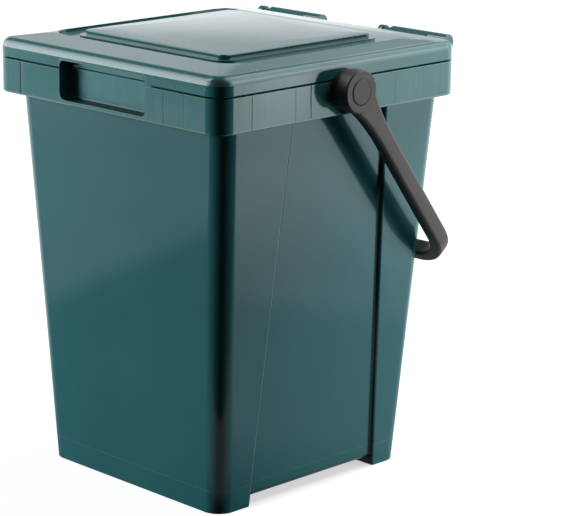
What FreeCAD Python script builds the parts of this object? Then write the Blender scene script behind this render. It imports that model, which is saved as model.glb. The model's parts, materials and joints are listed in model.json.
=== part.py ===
import FreeCAD, Part
import math
import os
import Sketcher

doc = FreeCAD.newDocument("kitchen_compost_bin")
sheet = doc.addObject("Spreadsheet::Sheet", "sizes")


class Size:
    """A number together with the sheet expression that it comes from."""

    def __init__(self, value, text):
        self.value = float(value)
        self.text = text

    def __add__(self, other):
        other = as_size(other)
        return Size(self.value + other.value, "(%s + %s)" % (self.text, other.text))

    def __sub__(self, other):
        other = as_size(other)
        return Size(self.value - other.value, "(%s - %s)" % (self.text, other.text))

    def __mul__(self, other):
        other = as_size(other)
        return Size(self.value * other.value, "(%s * %s)" % (self.text, other.text))

    def __truediv__(self, other):
        other = as_size(other)
        return Size(self.value / other.value, "(%s / %s)" % (self.text, other.text))

    def __neg__(self):
        return Size(-self.value, "(0 - %s)" % self.text)


def as_size(item):
    """Turn a plain number into a Size."""
    if isinstance(item, Size):
        return item
    return Size(item, "%.9g" % item if item >= 0 else "(0 - %.9g)" % -item)


COS45 = math.sqrt(0.5)
row = 0


def cell(name, value):
    """Write one driving dimension (mm) into the sheet and return it."""
    global row
    row += 1
    sheet.set("A%d" % row, name)
    sheet.set("B%d" % row, str(value))
    sheet.setAlias("B%d" % row, name)
    return Size(value, "sizes.%s" % name)


# Rim and bucket
rim_width = cell("rim_width", 309)
rim_depth = cell("rim_depth", 316)
rim_corner = cell("rim_corner", 18)
parting_height = cell("parting_height", 400)
parting_gap = cell("parting_gap", 1.2)
band_height = cell("band_height", 33)
shell_wall = cell("shell_wall", 2.5)
mouth_width = cell("mouth_width", 288)
mouth_depth = cell("mouth_depth", 295)
mouth_shift = cell("mouth_shift", 4.5)
base_width = cell("base_width", 240)
base_depth = cell("base_depth", 247)
base_shift = cell("base_shift", 0.5)
body_corner = cell("body_corner", 18)
floor_height = cell("floor_height", 6)
floor_thickness = cell("floor_thickness", 4)
foot_wall = cell("foot_wall", 3)
edge_break = cell("edge_break", 0.8)

# Sunken side panels
panel_depth = cell("panel_depth", 8)
panel_front_low = cell("panel_front_low", 82)
panel_rear_low = cell("panel_rear_low", 86)
panel_front_high = cell("panel_front_high", 52)
panel_rear_high = cell("panel_rear_high", 69)
panel_overlap = cell("panel_overlap", 9)
panel_bottom_round = cell("panel_bottom_round", 8)
panel_edge_round = cell("panel_edge_round", 2.5)
panel_over = cell("panel_over", 3)
skin_sink = cell("skin_sink", 0.6)

# Finger recess and the lid notch above it
recess_width = cell("recess_width", 119)
recess_depth = cell("recess_depth", 14)
recess_sill = cell("recess_sill", 4)
recess_corner = cell("recess_corner", 7)
notch_height = cell("notch_height", 8)

# Ribs behind the rim band
rib_thickness = cell("rib_thickness", 1.6)
rib_lift = cell("rib_lift", 3)
rib_inner = cell("rib_inner", 84)
rib_outer = cell("rib_outer", 113)
rib_side_front = cell("rib_side_front", 118)
rib_side_near = cell("rib_side_near", 44)
rib_side_rear = cell("rib_side_rear", 68)
rib_side_back = cell("rib_side_back", 107)

# Lid
shoulder_rise = cell("shoulder_rise", 18.8)
shoulder_round = cell("shoulder_round", 9)
crest_rise = cell("crest_rise", 22)
crest_side = cell("crest_side", 29.5)
crest_front = cell("crest_front", 41)
moat_depth = cell("moat_depth", 3.6)
moat_corner = cell("moat_corner", 25)
rear_border = cell("rear_border", 23)
rear_fall = cell("rear_fall", 0.8)
top_panel = cell("top_panel", 195)
top_panel_rise = cell("top_panel_rise", 6.6)
crown_rise = cell("crown_rise", 1.2)
top_panel_corner = cell("top_panel_corner", 9)
ledge_width = cell("ledge_width", 6)
ledge_rise = cell("ledge_rise", 2.2)
lip_depth = cell("lip_depth", 8)
lip_wall = cell("lip_wall", 2)
lip_clearance = cell("lip_clearance", 1.5)
seat_clearance = cell("seat_clearance", 0.3)
seat_length = cell("seat_length", 30)

# Hinge
hinge_reach = cell("hinge_reach", 13.5)
hinge_rise = cell("hinge_rise", 11.5)
hinge_spacing = cell("hinge_spacing", 168)
hinge_length = cell("hinge_length", 88)
barrel_radius = cell("barrel_radius", 7.5)
ear_small_radius = cell("ear_small_radius", 5.4)
ear_small_width = cell("ear_small_width", 9.6)
ear_large_width = cell("ear_large_width", 22)
ear_gap = cell("ear_gap", 0.4)
hinge_pin_radius = cell("hinge_pin_radius", 3)
hinge_head_radius = cell("hinge_head_radius", 7)
hinge_head_width = cell("hinge_head_width", 6.6)
hinge_pin_grip = cell("hinge_pin_grip", 15)
running_fit = cell("running_fit", 0.06)

# Handle and its pivots
pivot_drop = cell("pivot_drop", 9.4)
boss_radius = cell("boss_radius", 20)
boss_thickness = cell("boss_thickness", 13)
boss_edge = cell("boss_edge", 1.2)
collar_radius = cell("collar_radius", 18.6)
collar_thickness = cell("collar_thickness", 7)
collar_hub_radius = cell("collar_hub_radius", 9)
collar_standoff = cell("collar_standoff", 0.6)
boss_clearance = cell("boss_clearance", 0.4)
pivot_pin_radius = cell("pivot_pin_radius", 5)
pivot_head_radius = cell("pivot_head_radius", 12)
pivot_head_thickness = cell("pivot_head_thickness", 3)
pivot_head_gap = cell("pivot_head_gap", 0.4)
pivot_grip = cell("pivot_grip", 8)
arm_width = cell("arm_width", 17.8)
arm_thickness = cell("arm_thickness", 12.5)
arm_taper_width = cell("arm_taper_width", 19.2)
arm_neck_width = cell("arm_neck_width", 23.5)
arm_root_width = cell("arm_root_width", 36)
arm_round = cell("arm_round", 3.5)
arm_lean = cell("arm_lean", 0.05)
arm_root_relief = cell("arm_root_relief", 2)
neck_length = cell("neck_length", 66)
bail_length = cell("bail_length", 235)
bail_bend = cell("bail_bend", 36)
bail_clearance = cell("bail_clearance", 0.5)

doc.recompute()

# Heights and places that follow from the sizes above
rim_top = parting_height - parting_gap / 2
lid_low = parting_height + parting_gap / 2
band_low = parting_height - band_height
floor_top = floor_height + floor_thickness
panel_top = band_low + panel_overlap
side_face = rim_width / 2
rear_face = rim_depth / 2
hinge_y = rear_face + hinge_reach
hinge_z = parting_height + hinge_rise
pivot_z = parting_height - pivot_drop
frame_shift = (hinge_reach + barrel_radius) / 2
boss_inner = side_face + collar_standoff + collar_thickness + boss_clearance
collar_bore = pivot_pin_radius + running_fit


def between(low, high, height, top):
    """Value that runs in a straight line from low at the ground to high at the height top."""
    return low + (high - low) * height / top


def wall_side(height):
    return between(base_width / 2, mouth_width / 2, height, rim_top)


def wall_front(height):
    return between(base_depth / 2 - base_shift, mouth_depth / 2 - mouth_shift, height, rim_top)


def wall_rear(height):
    return between(base_depth / 2 + base_shift, mouth_depth / 2 + mouth_shift, height, rim_top)


def angle_of(slope):
    return Size(math.degrees(math.atan(slope.value)), "atan(%s)" % slope.text)


def cosine_of(slope):
    return Size(math.cos(math.atan(slope.value)), "cos(atan(%s))" % slope.text)


side_slope = (mouth_width - base_width) / 2 / rim_top
front_slope = (wall_front(rim_top) - wall_front(as_size(0))) / rim_top
rear_slope = (wall_rear(rim_top) - wall_rear(as_size(0))) / rim_top
side_lean = angle_of(side_slope)
front_lean = angle_of(front_slope)
rear_lean = angle_of(rear_slope)
side_lean_cosine = cosine_of(side_slope)


# Sketch helpers: every point is held by a distance that is bound to the sheet
def origin_item(body, role):
    return next(item for item in body.Origin.OriginFeatures if item.Role == role)


def new_sketch(body, name, role, offset):
    sketch = body.newObject("Sketcher::SketchObject", name)
    sketch.AttachmentSupport = [(origin_item(body, role), "")]
    sketch.MapMode = "FlatFace"
    offset = as_size(offset)
    sketch.AttachmentOffset = FreeCAD.Placement(FreeCAD.Vector(0, 0, offset.value), FreeCAD.Rotation())
    sketch.setExpression("AttachmentOffset.Base.z", offset.text)
    return sketch


def hold(sketch, constraint, amount):
    index = sketch.addConstraint(constraint)
    sketch.setExpression("Constraints[%d]" % index, amount.text)


def place(sketch, item, end, axis, at):
    """Hold one point of a sketch at a signed distance from the sketch origin."""
    at = as_size(at)
    kind = "DistanceX" if axis == 0 else "DistanceY"
    if abs(at.value) < 1e-9:
        sketch.addConstraint(Sketcher.Constraint("PointOnObject", item, end, -2 if axis == 0 else -1))
    elif at.value > 0:
        hold(sketch, Sketcher.Constraint(kind, -1, 1, item, end, at.value), at)
    else:
        hold(sketch, Sketcher.Constraint(kind, item, end, -1, 1, -at.value), -at)


def vec(x, y):
    return FreeCAD.Vector(as_size(x).value, as_size(y).value, 0)


def add_polygon(sketch, points):
    """Closed outline through points whose two coordinates are sizes."""
    first = sketch.GeometryCount
    count = len(points)
    for index in range(count):
        start = vec(*points[index])
        end = vec(*points[(index + 1) % count])
        sketch.addGeometry(Part.LineSegment(start, end), False)
    for index in range(count):
        after = first + (index + 1) % count
        sketch.addConstraint(Sketcher.Constraint("Coincident", first + index, 2, after, 1))
    for index, point in enumerate(points):
        place(sketch, first + index, 1, 0, point[0])
        place(sketch, first + index, 1, 1, point[1])


def add_rectangle(sketch, left, right, low, high):
    add_polygon(sketch, [(left, low), (right, low), (right, high), (left, high)])


def add_rounded(sketch, left, right, low, high, radius):
    """Rectangle with four equal rounded corners."""
    first = sketch.GeometryCount
    x0, x1, y0, y1 = [as_size(side).value for side in (left, right, low, high)]
    r = radius.value
    lines = [((x0 + r, y0), (x1 - r, y0)), ((x1, y0 + r), (x1, y1 - r)),
             ((x1 - r, y1), (x0 + r, y1)), ((x0, y1 - r), (x0, y0 + r))]
    for start, end in lines:
        sketch.addGeometry(Part.LineSegment(FreeCAD.Vector(*start, 0), FreeCAD.Vector(*end, 0)), False)
    corners = [(x1 - r, y0 + r), (x1 - r, y1 - r), (x0 + r, y1 - r), (x0 + r, y0 + r)]
    for turn, corner in enumerate(corners):
        circle = Part.Circle(FreeCAD.Vector(*corner, 0), FreeCAD.Vector(0, 0, 1), r)
        start = math.pi / 2 * (turn - 1)
        sketch.addGeometry(Part.ArcOfCircle(circle, start, start + math.pi / 2), False)
    for turn in range(4):
        arc = first + 4 + turn
        sketch.addConstraint(Sketcher.Constraint("Tangent", first + turn, 2, arc, 1))
        sketch.addConstraint(Sketcher.Constraint("Tangent", arc, 2, first + (turn + 1) % 4, 1))
        sketch.addConstraint(Sketcher.Constraint("Vertical" if turn % 2 else "Horizontal", first + turn))
        if turn:
            sketch.addConstraint(Sketcher.Constraint("Equal", first + 4, arc))
    hold(sketch, Sketcher.Constraint("Radius", first + 4, r), radius)
    place(sketch, first + 3, 1, 0, left)
    place(sketch, first + 1, 1, 0, right)
    place(sketch, first + 0, 1, 1, low)
    place(sketch, first + 2, 1, 1, high)


def add_circle(sketch, x, y, radius):
    item = sketch.addGeometry(Part.Circle(vec(x, y), FreeCAD.Vector(0, 0, 1), radius.value), False)
    place(sketch, item, 3, 0, x)
    place(sketch, item, 3, 1, y)
    hold(sketch, Sketcher.Constraint("Radius", item, radius.value), radius)


def rectangle(body, name, role, offset, left, right, low, high):
    sketch = new_sketch(body, name, role, offset)
    add_rectangle(sketch, left, right, low, high)
    return sketch


def rounded(body, name, role, offset, left, right, low, high, radius):
    sketch = new_sketch(body, name, role, offset)
    add_rounded(sketch, left, right, low, high, radius)
    return sketch


def polygon(body, name, role, offset, points):
    sketch = new_sketch(body, name, role, offset)
    add_polygon(sketch, points)
    return sketch


def circle(body, name, role, offset, x, y, radius):
    sketch = new_sketch(body, name, role, offset)
    add_circle(sketch, x, y, radius)
    return sketch


# Feature helpers
def extrude(body, kind, name, sketch, length, reverse=False):
    feature = body.newObject("PartDesign::" + kind, name)
    feature.Profile = sketch
    feature.Reversed = reverse
    feature.setExpression("Length", as_size(length).text)
    return feature


def pad(body, name, sketch, length, reverse=False):
    return extrude(body, "Pad", name, sketch, length, reverse)


def pocket(body, name, sketch, length, reverse=False):
    return extrude(body, "Pocket", name, sketch, length, reverse)


def loft(body, kind, name, sketches, ruled=True):
    feature = body.newObject("PartDesign::" + kind, name)
    feature.Profile = sketches[0]
    feature.Sections = sketches[1:]
    feature.Ruled = ruled
    return feature


def mirrored(body, name, features, role="YZ_Plane"):
    feature = body.newObject("PartDesign::Mirrored", name)
    feature.Originals = features
    feature.MirrorPlane = (origin_item(body, role), [""])
    body.Tip = feature
    return feature


def dress(body, kind, name, test, amount):
    """Round, break or lean the edges or faces of the body that pass a test on their box."""
    doc.recompute()
    shape = body.Tip.Shape
    element, items, size = {"Fillet": ("Edge", shape.Edges, "Radius"), "Chamfer": ("Edge", shape.Edges, "Size"),
                            "Draft": ("Face", shape.Faces, "Angle")}[kind]
    names = [element + str(index + 1) for index, item in enumerate(items) if test(item, item.BoundBox)]
    base = body.Tip
    feature = body.newObject("PartDesign::" + kind, name)
    feature.Base = (base, names)
    feature.setExpression(size, amount.text)
    return feature


def fillet(body, name, test, radius):
    return dress(body, "Fillet", name, test, radius)


def chamfer(body, name, test, width):
    return dress(body, "Chamfer", name, test, width)


def lean_faces(body, name, test, angle):
    """Turn upright faces about their foot in the ground plane, so that they lean outwards."""
    feature = dress(body, "Draft", name, test, angle)
    feature.NeutralPlane = (origin_item(body, "XY_Plane"), [""])
    feature.Reversed = True
    return feature


def close(first, second, slack=0.05):
    return abs(as_size(first).value - as_size(second).value) < slack


def flat_at(box, height):
    """True for an edge that lies in a level plane at the height."""
    return close(box.ZMin, height) and close(box.ZMax, height)


def new_body(label):
    body = doc.addObject("PartDesign::Body", label)
    body.Label = label
    body.setExpression("Placement.Base.y", (-frame_shift).text)
    return body


# Bin body: a block whose four walls lean outwards by their own angles, with a core of the same kind cut out
bin_body = new_body("bin_body")
b = bin_body
ground = as_size(0)
wall_half = rim_top / 2


def leaning_block(body, name, inset):
    """Block a distance inside the bucket's outer walls, from the ground to the rim, with rounded corners."""
    side = wall_side(ground) - inset
    front = wall_front(ground) - inset
    rear = wall_rear(ground) - inset
    pad(body, name, rectangle(body, name + "_outline", "XY_Plane", ground, -side, side, -front, rear), rim_top)
    lean_faces(body, name + "_sides", lambda face, box: box.XLength < 0.1, side_lean)
    lean_faces(body, name + "_front", lambda face, box: box.YLength < 0.1 and box.YMin < 0, front_lean)
    lean_faces(body, name + "_rear", lambda face, box: box.YLength < 0.1 and box.YMin > 0, rear_lean)
    fillet(body, name + "_corners", lambda edge, box: box.ZLength > wall_half.value, body_corner - inset)


core = doc.addObject("PartDesign::Body", "inside_core")
leaning_block(core, "core", shell_wall)
pocket(core, "core_foot", rectangle(core, "core_foot_outline", "XY_Plane", ground, -base_width, base_width, -base_depth,
                                    base_depth), floor_top, True)
leaning_block(b, "bucket", ground)
doc.recompute()
inside = b.newObject("PartDesign::Boolean", "inside")
inside.Type = "Cut"
inside.setObjects([core])
pocket(b, "foot_hollow", rounded(b, "foot_outline", "XY_Plane", 0, foot_wall - wall_side(ground),
                                 wall_side(ground) - foot_wall, foot_wall - wall_front(ground),
                                 wall_rear(ground) - foot_wall, body_corner - foot_wall), floor_height, True)


# Rim plate around the mouth, with an apron below its edge
def rim_ring(sketch, inset):
    add_rounded(sketch, inset - side_face, side_face - inset, inset - rear_face, rear_face - inset,
                rim_corner - inset)


def mouth_ring(sketch, inset):
    add_rounded(sketch, inset - mouth_width / 2, mouth_width / 2 - inset, inset + mouth_shift - mouth_depth / 2,
                mouth_depth / 2 + mouth_shift - inset, body_corner - inset)


rim_plate = new_sketch(b, "rim_plate_outline", "XY_Plane", rim_top - shell_wall)
rim_ring(rim_plate, ground)
mouth_ring(rim_plate, shell_wall / 2)
pad(b, "rim_plate", rim_plate, shell_wall)
apron = new_sketch(b, "apron_outline", "XY_Plane", band_low)
rim_ring(apron, ground)
rim_ring(apron, shell_wall)
pad(b, "apron", apron, rim_top - band_low)


# Sunken side panels, drawn on planes along the leaning wall: an inner skin, then the hollow in front of it
def panel_outline(name, outward, low, high, margin):
    sketch = new_sketch(b, name, "YZ_Plane", base_width / 2 + outward)
    turn = FreeCAD.Rotation(FreeCAD.Vector(1, 0, 0), side_lean.value)
    sketch.AttachmentOffset = FreeCAD.Placement(sketch.AttachmentOffset.Base, turn)
    sketch.setExpression("AttachmentOffset.Rotation.Angle", side_lean.text)
    points = []
    for height, sign in ((low, -1), (low, 1), (high, 1), (high, -1)):
        front = -between(panel_front_low, panel_front_high, height, panel_top) - margin
        rear = between(panel_rear_low, panel_rear_high, height, panel_top) + margin
        points.append((front if sign < 0 else rear, height / side_lean_cosine))
    add_polygon(sketch, points)
    return sketch


skin = pad(b, "panel_skin", panel_outline("panel_skin_outline", -skin_sink, floor_height, panel_top + shell_wall,
                                          shell_wall), panel_depth + shell_wall - skin_sink, True)
hollow = pocket(b, "panel_hollow", panel_outline("panel_hollow_outline", panel_over, -panel_over, panel_top, ground),
                panel_depth + panel_over)
mirrored(b, "panel_pair", [skin, hollow])

# Finger recess in the front of the band
half_recess = recess_width / 2
sill = band_low + recess_sill
pad(b, "recess_box", rectangle(b, "recess_box_outline", "XY_Plane", sill - shell_wall,
                               -half_recess - shell_wall, half_recess + shell_wall,
                               shell_wall / 2 - rear_face, recess_depth + shell_wall - rear_face),
    rim_top - sill + shell_wall)
pocket(b, "recess", rounded(b, "recess_outline", "XZ_Plane", rear_face + 1, -half_recess, half_recess, sill,
                            rim_top + recess_corner * 3, recess_corner), recess_depth + 1)

# Ribs between the bucket and the apron, and the sockets for the handle pivots
ribs = new_sketch(b, "rib_outlines", "XY_Plane", band_low + rib_lift)
half_rib = rib_thickness / 2
rib_middle = (band_low + rib_lift + rim_top) / 2
rib_foot = shell_wall / 2
for at in (rib_inner, rib_outer):
    for turn in (1, -1):
        x = at * turn
        add_rectangle(ribs, x - half_rib, x + half_rib, rib_foot - rear_face, rib_foot - wall_front(rib_middle))
        add_rectangle(ribs, x - half_rib, x + half_rib, wall_rear(rib_middle) - rib_foot, rear_face - rib_foot)
for y in (-rib_side_front, -rib_side_near, rib_side_rear, rib_side_back):
    for turn in (1, -1):
        inner = (wall_side(rib_middle) - rib_foot) * turn
        outer = (side_face - rib_foot) * turn
        add_rectangle(ribs, *((inner, outer) if turn > 0 else (outer, inner)), y - half_rib, y + half_rib)
pad(b, "ribs", ribs, rim_top - band_low - rib_lift - rib_foot)
socket_start = wall_side(pivot_z) - rib_foot
socket = pad(b, "socket", circle(b, "socket_outline", "YZ_Plane", socket_start, 0, pivot_z, collar_hub_radius),
             side_face - rib_foot - socket_start)
mirrored(b, "socket_pair", [socket])


# Hinge ears, each with its web down to the band
def ear_outline(name, offset, radius):
    sketch = new_sketch(b, name, "YZ_Plane", offset)
    points = [(hinge_y - radius, hinge_z), (rear_face + 0.8, rim_top + 1.2), (rear_face - shell_wall / 2, rim_top - 1),
              (rear_face - shell_wall / 2, hinge_z - 36), (rear_face + 6, hinge_z - 18.5),
              (hinge_y + radius * COS45, hinge_z - radius * COS45)]
    for index in range(5):
        sketch.addGeometry(Part.LineSegment(vec(*points[index]), vec(*points[index + 1])), False)
    bow = Part.Circle(vec(hinge_y, hinge_z), FreeCAD.Vector(0, 0, 1), radius.value)
    sketch.addGeometry(Part.ArcOfCircle(bow, -math.pi / 4, math.pi), False)
    for index in range(5):
        sketch.addConstraint(Sketcher.Constraint("Coincident", index, 2, index + 1, 1))
    sketch.addConstraint(Sketcher.Constraint("Coincident", 5, 2, 0, 1))
    for index in range(1, 5):
        place(sketch, index, 1, 0, points[index][0])
        place(sketch, index, 1, 1, points[index][1])
    place(sketch, 0, 1, 1, points[0][1])
    place(sketch, 4, 2, 1, points[5][1])
    place(sketch, 5, 3, 0, hinge_y)
    place(sketch, 5, 3, 1, hinge_z)
    hold(sketch, Sketcher.Constraint("Radius", 5, radius.value), radius)
    return sketch


ear_start = hinge_head_width + ear_gap
barrel_start = ear_start + ear_small_width + ear_gap
ear_end = hinge_length - ear_large_width
barrel_length = ear_end - ear_gap - barrel_start
hinge_starts = {"left": -hinge_spacing / 2 - hinge_length / 2, "right": hinge_spacing / 2 - hinge_length / 2}
for side, start in hinge_starts.items():
    pad(b, "ear_small_" + side, ear_outline("ear_small_outline_" + side, start + ear_start, ear_small_radius),
        ear_small_width)
    pad(b, "ear_large_" + side, ear_outline("ear_large_outline_" + side, start + ear_end, barrel_radius),
        ear_large_width)
    pocket(b, "ear_bore_" + side, circle(b, "ear_bore_outline_" + side, "YZ_Plane", start, hinge_y, hinge_z,
                                         hinge_pin_radius + running_fit), ear_end + hinge_pin_grip + 1, True)

# Holes for the pivot pins
bore = pocket(b, "pivot_bore", circle(b, "pivot_bore_outline", "YZ_Plane", side_face, 0, pivot_z, collar_bore),
              pivot_grip + 0.6)
mirrored(b, "pivot_bore_pair", [bore])

# Rounded edges of the body
doc.recompute()


def panel_step_edge(edge, box):
    tall = box.ZLength > panel_top.value * 0.8
    low = box.ZMin < floor_top.value
    inner = abs(box.Center.x) > base_width.value / 2 - panel_depth.value * 1.3
    fronts = (panel_front_low + panel_front_high) / 2
    rears = (panel_rear_low + panel_rear_high) / 2
    on_step = close(-box.Center.y, fronts, 4) or close(box.Center.y, rears, 4)
    high = (wall_side(panel_top / 2) - panel_depth).value
    return tall and low and inner and on_step and abs(box.Center.x) > high - 1.2


def panel_foot_edge(edge, box):
    at = (wall_side(floor_height) - panel_depth).value
    return flat_at(box, floor_height) and box.YLength > panel_front_low.value and close(abs(box.Center.x), at, 0.4)


def band_edge(edge, box):
    outside = max(abs(box.XMin), abs(box.XMax), abs(box.YMin), abs(box.YMax))
    on_face = close(outside, side_face) or close(outside, rear_face)
    return flat_at(box, band_low) and on_face


fillet(b, "panel_steps", panel_step_edge, panel_edge_round)
fillet(b, "panel_feet", panel_foot_edge, panel_bottom_round)
chamfer(b, "band_edges", band_edge, edge_break)

# Lid: skirt and hipped shoulder
lid = new_body("lid")
shoulder_z = parting_height + shoulder_rise
crest_z = parting_height + crest_rise
moat_z = crest_z - moat_depth
top_z = moat_z + top_panel_rise


def rim_outline(name, height, inset):
    return rounded(lid, name, "XY_Plane", height, inset - side_face, side_face - inset, inset - rear_face,
                   rear_face - inset, rim_corner - inset)


pad(lid, "skirt", rim_outline("skirt_outline", lid_low, ground), shoulder_z - lid_low)
fillet(lid, "shoulder", lambda edge, box: flat_at(box, shoulder_z), shoulder_round)
loft(lid, "AdditiveLoft", "border", [rim_outline("border_low", shoulder_z, shoulder_round),
                                     rounded(lid, "border_high", "XY_Plane", crest_z, crest_side - side_face,
                                             side_face - crest_side, crest_front - rear_face,
                                             rear_face - crest_front, rim_corner)])

# Rear slope, moat open at the back, and the two-step panel
slope_y = rear_face - rear_border
pocket(lid, "rear_slope", polygon(lid, "rear_slope_outline", "YZ_Plane", side_face + 1,
                                  [(slope_y - rear_border, crest_z + 0.4), (slope_y, moat_z),
                                   (rear_face + 2, moat_z - rear_fall), (rear_face + 2, crest_z + 10),
                                   (slope_y - rear_border, crest_z + 10)]), rim_width + 2)
pocket(lid, "moat", rounded(lid, "moat_outline", "XY_Plane", crest_z + 5, crest_side - side_face,
                            side_face - crest_side, crest_front - rear_face, rear_face + moat_corner * 2,
                            moat_corner), crest_z + 5 - moat_z)
half_top = top_panel / 2
half_ledge = half_top + ledge_width
pad(lid, "ledge", rounded(lid, "ledge_outline", "XY_Plane", moat_z - 1, -half_ledge, half_ledge, -half_ledge,
                          half_ledge, top_panel_corner + ledge_width), ledge_rise + 1)
pad(lid, "top_panel", rounded(lid, "top_panel_outline", "XY_Plane", moat_z - 1, -half_top, half_top, -half_top,
                              half_top, top_panel_corner), top_panel_rise + crown_rise + 1)
crown_z = top_z + crown_rise
chamfer(lid, "top_panel_edges", lambda edge, box: flat_at(box, crown_z), edge_break + crown_rise)

# Slight crown of the panel: all above two crossed, very wide rounds is cut away
crown_reach = half_top + edge_break
crown_radius = (half_top * half_top + crown_rise * crown_rise) / crown_rise / 2
crown_cut = crown_z + crown_rise
for role, name in (("XZ_Plane", "crown_across"), ("YZ_Plane", "crown_along")):
    sketch = new_sketch(lid, name + "_outline", role, crown_reach)
    wide = Part.Circle(vec(0, crown_z - crown_radius), FreeCAD.Vector(0, 0, 1), crown_radius.value)
    opening = math.asin(crown_reach.value / crown_radius.value)
    sketch.addGeometry(Part.ArcOfCircle(wide, math.pi / 2 - opening, math.pi / 2 + opening), False)
    corners = [(-crown_reach, top_z), (-crown_reach, crown_cut), (crown_reach, crown_cut), (crown_reach, top_z)]
    for index in range(3):
        sketch.addGeometry(Part.LineSegment(vec(*corners[index]), vec(*corners[index + 1])), False)
    for index in range(4):
        sketch.addConstraint(Sketcher.Constraint("Coincident", index, 2, (index + 1) % 4, 1))
    hold(sketch, Sketcher.Constraint("Radius", 0, crown_radius.value), crown_radius)
    place(sketch, 0, 3, 0, 0)
    place(sketch, 0, 3, 1, crown_z - crown_radius)
    place(sketch, 0, 1, 0, crown_reach)
    place(sketch, 0, 2, 0, -crown_reach)
    for index in (1, 2):
        place(sketch, index, 2, 0, corners[index][0])
        place(sketch, index, 2, 1, crown_cut)
    pocket(lid, name, sketch, crown_reach * 2)

# Inside of the lid, with the shoulder kept thick enough
roof_z = moat_z - shell_wall
spring_z = shoulder_z - shoulder_round
pocket(lid, "under", rim_outline("under_outline", lid_low, shell_wall), spring_z - lid_low, True)
loft(lid, "SubtractiveLoft", "under_shoulder", [rim_outline("under_shoulder_low", spring_z, shell_wall),
                                                rim_outline("under_shoulder_high", roof_z, shoulder_round + 1)])
pocket(lid, "under_panel", rounded(lid, "under_panel_outline", "XY_Plane", roof_z - 1, shell_wall - half_top,
                                   half_top - shell_wall, shell_wall - half_top, half_top - shell_wall,
                                   top_panel_corner - shell_wall), top_z - roof_z - crown_rise / 2 - shell_wall + 1, True)

# Lip that goes into the mouth, and seats over the rim
lip_low = rim_top - lip_depth
lip = new_sketch(lid, "lip_outline", "XY_Plane", lip_low)
lip_inset = shell_wall + lip_clearance
for inset in (lip_inset, lip_inset + lip_wall):
    mouth_ring(lip, inset)
pad(lid, "lip", lip, roof_z - lip_low + 0.5)
seats = new_sketch(lid, "seat_outlines", "XY_Plane", rim_top + seat_clearance)
seat_x = side_face - shell_wall * 2
seat_y = rear_face - shell_wall * 2
for turn in (1, -1):
    for run in (1, -1):
        start = rib_inner * run - seat_length / 2
        inner = (seat_x - lip_wall) * turn
        outer = seat_x * turn
        add_rectangle(seats, *((inner, outer) if turn > 0 else (outer, inner)), start, start + seat_length)
        low = seat_y - lip_wall if turn > 0 else -seat_y
        add_rectangle(seats, start, start + seat_length, low, low + lip_wall)
pad(lid, "seats", seats, spring_z + (roof_z - spring_z) * 0.62 - rim_top - seat_clearance)

# Notch over the finger recess
notch_z = parting_height + notch_height
pad(lid, "notch_box", rectangle(lid, "notch_box_outline", "XY_Plane", lid_low, -half_recess - shell_wall,
                                half_recess + shell_wall, shell_wall / 2 - rear_face,
                                recess_depth + shell_wall - rear_face), notch_z + shell_wall - lid_low)
pocket(lid, "notch", rounded(lid, "notch_outline", "XZ_Plane", rear_face + 1, -half_recess, half_recess,
                             lid_low - recess_corner * 3, notch_z, recess_corner), recess_depth + 1)

# Hinge barrels on webs from the back of the skirt
for side, start in hinge_starts.items():
    at = start + barrel_start
    pad(lid, "web_" + side, polygon(lid, "web_outline_" + side, "YZ_Plane", at,
                                    [(rear_face - shell_wall / 2, lid_low + 2.4), (hinge_y, hinge_z - barrel_radius),
                                     (hinge_y, hinge_z + barrel_radius * 0.96), (hinge_y - 3, hinge_z + 6.8),
                                     (rear_face - shell_wall / 2, lid_low + 12)]), barrel_length)
    pad(lid, "barrel_" + side, circle(lid, "barrel_outline_" + side, "YZ_Plane", at, hinge_y, hinge_z,
                                      barrel_radius), barrel_length)
    pocket(lid, "barrel_bore_" + side, circle(lid, "barrel_bore_outline_" + side, "YZ_Plane", at - 1, hinge_y,
                                              hinge_z, hinge_pin_radius + running_fit), barrel_length + 2, True)
chamfer(lid, "skirt_edges", lambda edge, box: flat_at(box, lid_low) and edge.Length > 20 and (
    close(max(abs(box.XMin), abs(box.XMax)), side_face) or close(max(abs(box.YMin), abs(box.YMax)), rear_face)),
    edge_break)

# Bail handle, drawn hanging straight down from its pivot and mirrored about the middle
bail = new_body("bail_handle")
boss_outer = boss_inner + boss_thickness
pad(bail, "boss", circle(bail, "boss_outline", "YZ_Plane", boss_inner, 0, 0, boss_radius), boss_thickness)
chamfer(bail, "boss_edge", lambda edge, box: close(box.XMin, boss_outer) and close(box.XMax, boss_outer), boss_edge)


def arm_centre(depth):
    """Middle of an arm, which leans inwards on its way down."""
    return boss_inner + boss_thickness / 2 - arm_lean * depth


def arm_section(name, depth, width, relief=0):
    """Rectangle whose corners are rounded in three short steps."""
    middle = arm_centre(depth)
    faces = {1: middle + arm_thickness / 2, -1: middle - arm_thickness / 2 + relief}
    points = []
    for quarter, (across, along) in enumerate(((1, 1), (-1, 1), (-1, -1), (1, -1))):
        for step in range(4):
            turn = math.radians(90 * quarter + 30 * step)
            points.append((faces[across] + arm_round * (round(math.cos(turn), 6) - across),
                           width / 2 * along + arm_round * (round(math.sin(turn), 6) - along)))
    return polygon(bail, name, "XY_Plane", -depth, points)


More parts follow.
